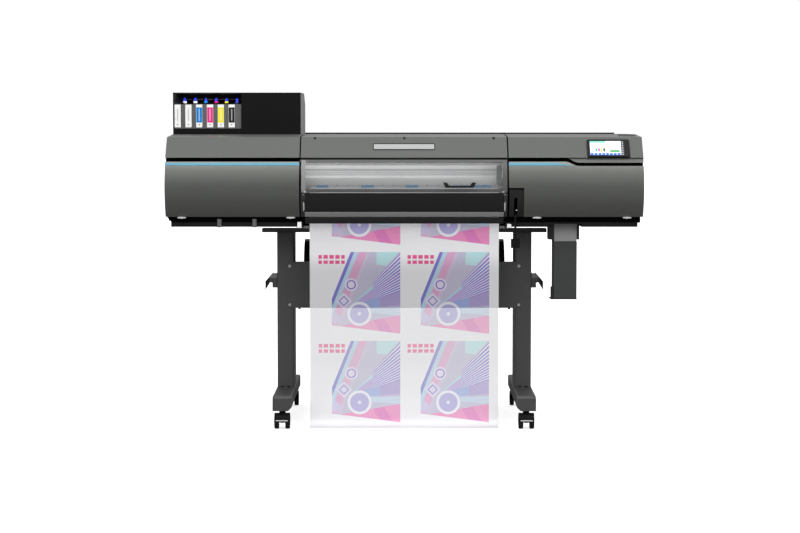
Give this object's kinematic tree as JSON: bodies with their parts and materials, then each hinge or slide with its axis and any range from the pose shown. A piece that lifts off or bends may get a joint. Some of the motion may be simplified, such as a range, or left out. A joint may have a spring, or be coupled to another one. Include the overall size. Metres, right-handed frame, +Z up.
{
  "type": "roll printer cutter",
  "caption": "Wide roll printer cutter on a wheeled stand, with hinged window and end covers, ink trays on top, touch panel, supply roll and printed film hanging in front.",
  "frame": {"origin": "floor point midway between the stand columns, under the centre of the machine", "axes": "+X to the operator's right, +Y from the operator's side to the back, +Z up"},
  "size_m": [1.914, 0.75, 1.348],
  "materials": {
    "stand_paint": "fine textured dark grey paint",
    "frame_black": "satin black paint",
    "cover_upper": "satin mid grey moulded cover",
    "cover_front": "satin metallic grey moulded cover",
    "accent": "light blue line",
    "catch": "light grey catch",
    "black_plastic": "satin black",
    "screen": "lit display behind clear glass",
    "badge": "plain pale badge",
    "smoke_clear": "smoky clear acrylic",
    "trim_grey": "light grey",
    "platen_metal": "anodised, fine brushed",
    "rail_metal": "extruded, bright",
    "steel": "ground shaft",
    "roller_rubber": "moulded rubber",
    "zinc": "bright zinc plated",
    "caster_tread": "polyurethane tread",
    "carriage_shell": "light grey moulded cover",
    "ink_box_black": "satin black",
    "ink_tray": "grey, coloured front label",
    "valve": "blue knob over a coloured collar",
    "film": "milky translucent film with abstract print",
    "pad_white": "white moulded pad",
    "bottle": "dark moulded bottle"
  },
  "bodies": {
    "machine": {"left_column": "stand_paint", "right_column": "stand_paint", "left_foot": "stand_paint", "right_foot": "stand_paint", "crossbeam": "stand_paint", "stand_screws": "zinc", "mounting_pads": "pad_white", "side_hooks": "stand_paint", "base_frame": "frame_black", "left_side_plate": "cover_upper", "right_side_plate": "cover_upper", "left_top_cover": "cover_upper", "right_top_cover": "cover_upper", "centre_top_cover": "cover_upper", "rear_cover": "cover_upper", "touch_panel": "black_plastic", "touch_screen": "screen", "badge": "badge", "platen": "platen_metal", "front_apron": "black_plastic", "apron_lip": "trim_grey", "lower_guard": "black_plastic", "carriage_rail": "rail_metal", "ink_housing": "ink_box_black", "ink_valves": "valve", "film_web": "film", "roll_supports": "stand_paint", "drain_bracket": "stand_paint"},
    "window": {"window_frame": "trim_grey", "window_pane": "smoke_clear", "window_handle": "black_plastic"},
    "left_cover": {"left_front_cover": "cover_front", "left_accent_strip": "accent", "left_cover_latches": "catch"},
    "right_cover": {"right_front_cover": "cover_front", "right_accent_strip": "accent", "right_cover_latches": "catch"},
    "lever": {"loading_lever": "black_plastic"},
    "pinch_arm_set": {"pinch_arms": "steel"},
    "pinch_roller_set": {"pinch_rollers": "roller_rubber"},
    "grit_drive": {"grit_roller": "steel"},
    "print_head": {"print_carriage": "carriage_shell"},
    "cutting_head": {"cutting_carriage": "carriage_shell"},
    "supply_roll": {"film_roll": "film", "media_flanges": "black_plastic"},
    "waste_bottle": {"drain_bottle": "bottle"},
    "tray_1": {"ink_tray_1": "ink_tray"},
    "tray_2": {"ink_tray_2": "ink_tray"},
    "tray_3": {"ink_tray_3": "ink_tray"},
    "tray_4": {"ink_tray_4": "ink_tray"},
    "tray_5": {"ink_tray_5": "ink_tray"},
    "tray_6": {"ink_tray_6": "ink_tray"},
    "caster_front_left": {"caster_fork_front_left": "black_plastic"},
    "wheels_front_left": {"caster_wheels_front_left": "caster_tread"},
    "caster_front_right": {"caster_fork_front_right": "black_plastic"},
    "wheels_front_right": {"caster_wheels_front_right": "caster_tread"},
    "caster_rear_left": {"caster_fork_rear_left": "black_plastic"},
    "wheels_rear_left": {"caster_wheels_rear_left": "caster_tread"},
    "caster_rear_right": {"caster_fork_rear_right": "black_plastic"},
    "wheels_rear_right": {"caster_wheels_rear_right": "caster_tread"}
  },
  "joints": [
    {"name": "window_hinge", "type": "hinge", "parent": "machine", "child": "window", "pos_m": [0, -0.28322, 1.071], "axis": [-1, 0, 0], "range_deg": [0, 75]},
    {"name": "left_cover_hinge", "type": "hinge", "parent": "machine", "child": "left_cover", "pos_m": [-0.6885, -0.27897, 1.062], "axis": [-1, 0, 0], "range_deg": [0, 60]},
    {"name": "right_cover_hinge", "type": "hinge", "parent": "machine", "child": "right_cover", "pos_m": [0.6875, -0.28863, 1.045], "axis": [-1, 0, 0], "range_deg": [0, 50]},
    {"name": "lever_swing", "type": "hinge", "parent": "machine", "child": "lever", "pos_m": [0.445, -0.215, 0.885], "axis": [-1, 0, 0], "range_deg": [0, 30]},
    {"name": "arm_lift", "type": "hinge", "parent": "machine", "child": "pinch_arm_set", "pos_m": [0, -0.01, 0.99], "axis": [-1, 0, 0], "range_deg": [0, 9]},
    {"name": "grit_spin", "type": "hinge", "parent": "machine", "child": "grit_drive", "pos_m": [0, -0.06, 0.9474], "axis": [1, 0, 0], "continuous": true},
    {"name": "pinch_spin", "type": "hinge", "parent": "pinch_arm_set", "child": "pinch_roller_set", "pos_m": [0, -0.06, 0.9686], "axis": [1, 0, 0], "continuous": true},
    {"name": "print_slide", "type": "slide", "parent": "machine", "child": "print_head", "axis": [1, 0, 0], "range_m": [-0.76, 0]},
    {"name": "cutting_slide", "type": "slide", "parent": "machine", "child": "cutting_head", "axis": [1, 0, 0], "range_m": [0, 0.23]},
    {"name": "supply_spin", "type": "hinge", "parent": "machine", "child": "supply_roll", "pos_m": [0, 0.255, 0.61], "axis": [1, 0, 0], "continuous": true},
    {"name": "bottle_slide", "type": "slide", "parent": "machine", "child": "waste_bottle", "axis": [0, -1, 0], "range_m": [0, 0.15]},
    {"name": "tray_1_slide", "type": "slide", "parent": "machine", "child": "tray_1", "axis": [0, -1, 0], "range_m": [0, 0.3]},
    {"name": "tray_2_slide", "type": "slide", "parent": "machine", "child": "tray_2", "axis": [0, -1, 0], "range_m": [0, 0.3]},
    {"name": "tray_3_slide", "type": "slide", "parent": "machine", "child": "tray_3", "axis": [0, -1, 0], "range_m": [0, 0.3]},
    {"name": "tray_4_slide", "type": "slide", "parent": "machine", "child": "tray_4", "axis": [0, -1, 0], "range_m": [0, 0.3]},
    {"name": "tray_5_slide", "type": "slide", "parent": "machine", "child": "tray_5", "axis": [0, -1, 0], "range_m": [0, 0.3]},
    {"name": "tray_6_slide", "type": "slide", "parent": "machine", "child": "tray_6", "axis": [0, -1, 0], "range_m": [0, 0.3]},
    {"name": "caster_swivel_front_left", "type": "hinge", "parent": "machine", "child": "caster_front_left", "pos_m": [-0.489, -0.322, 0.073], "axis": [0, 0, 1], "continuous": true},
    {"name": "wheel_spin_front_left", "type": "hinge", "parent": "caster_front_left", "child": "wheels_front_left", "pos_m": [-0.489, -0.341, 0.03], "axis": [1, 0, 0], "continuous": true},
    {"name": "caster_swivel_front_right", "type": "hinge", "parent": "machine", "child": "caster_front_right", "pos_m": [0.489, -0.322, 0.073], "axis": [0, 0, 1], "continuous": true},
    {"name": "wheel_spin_front_right", "type": "hinge", "parent": "caster_front_right", "child": "wheels_front_right", "pos_m": [0.489, -0.341, 0.03], "axis": [1, 0, 0], "continuous": true},
    {"name": "caster_swivel_rear_left", "type": "hinge", "parent": "machine", "child": "caster_rear_left", "pos_m": [-0.489, 0.322, 0.073], "axis": [0, 0, 1], "continuous": true},
    {"name": "wheel_spin_rear_left", "type": "hinge", "parent": "caster_rear_left", "child": "wheels_rear_left", "pos_m": [-0.489, 0.341, 0.03], "axis": [1, 0, 0], "continuous": true},
    {"name": "caster_swivel_rear_right", "type": "hinge", "parent": "machine", "child": "caster_rear_right", "pos_m": [0.489, 0.322, 0.073], "axis": [0, 0, 1], "continuous": true},
    {"name": "wheel_spin_rear_right", "type": "hinge", "parent": "caster_rear_right", "child": "wheels_rear_right", "pos_m": [0.489, 0.341, 0.03], "axis": [1, 0, 0], "continuous": true}
  ],
  "couplings": [
    {"joint": "arm_lift", "follows": "lever_swing", "ratio": 0.3},
    {"joint": "pinch_spin", "follows": "grit_spin", "ratio": -1.5}
  ]
}
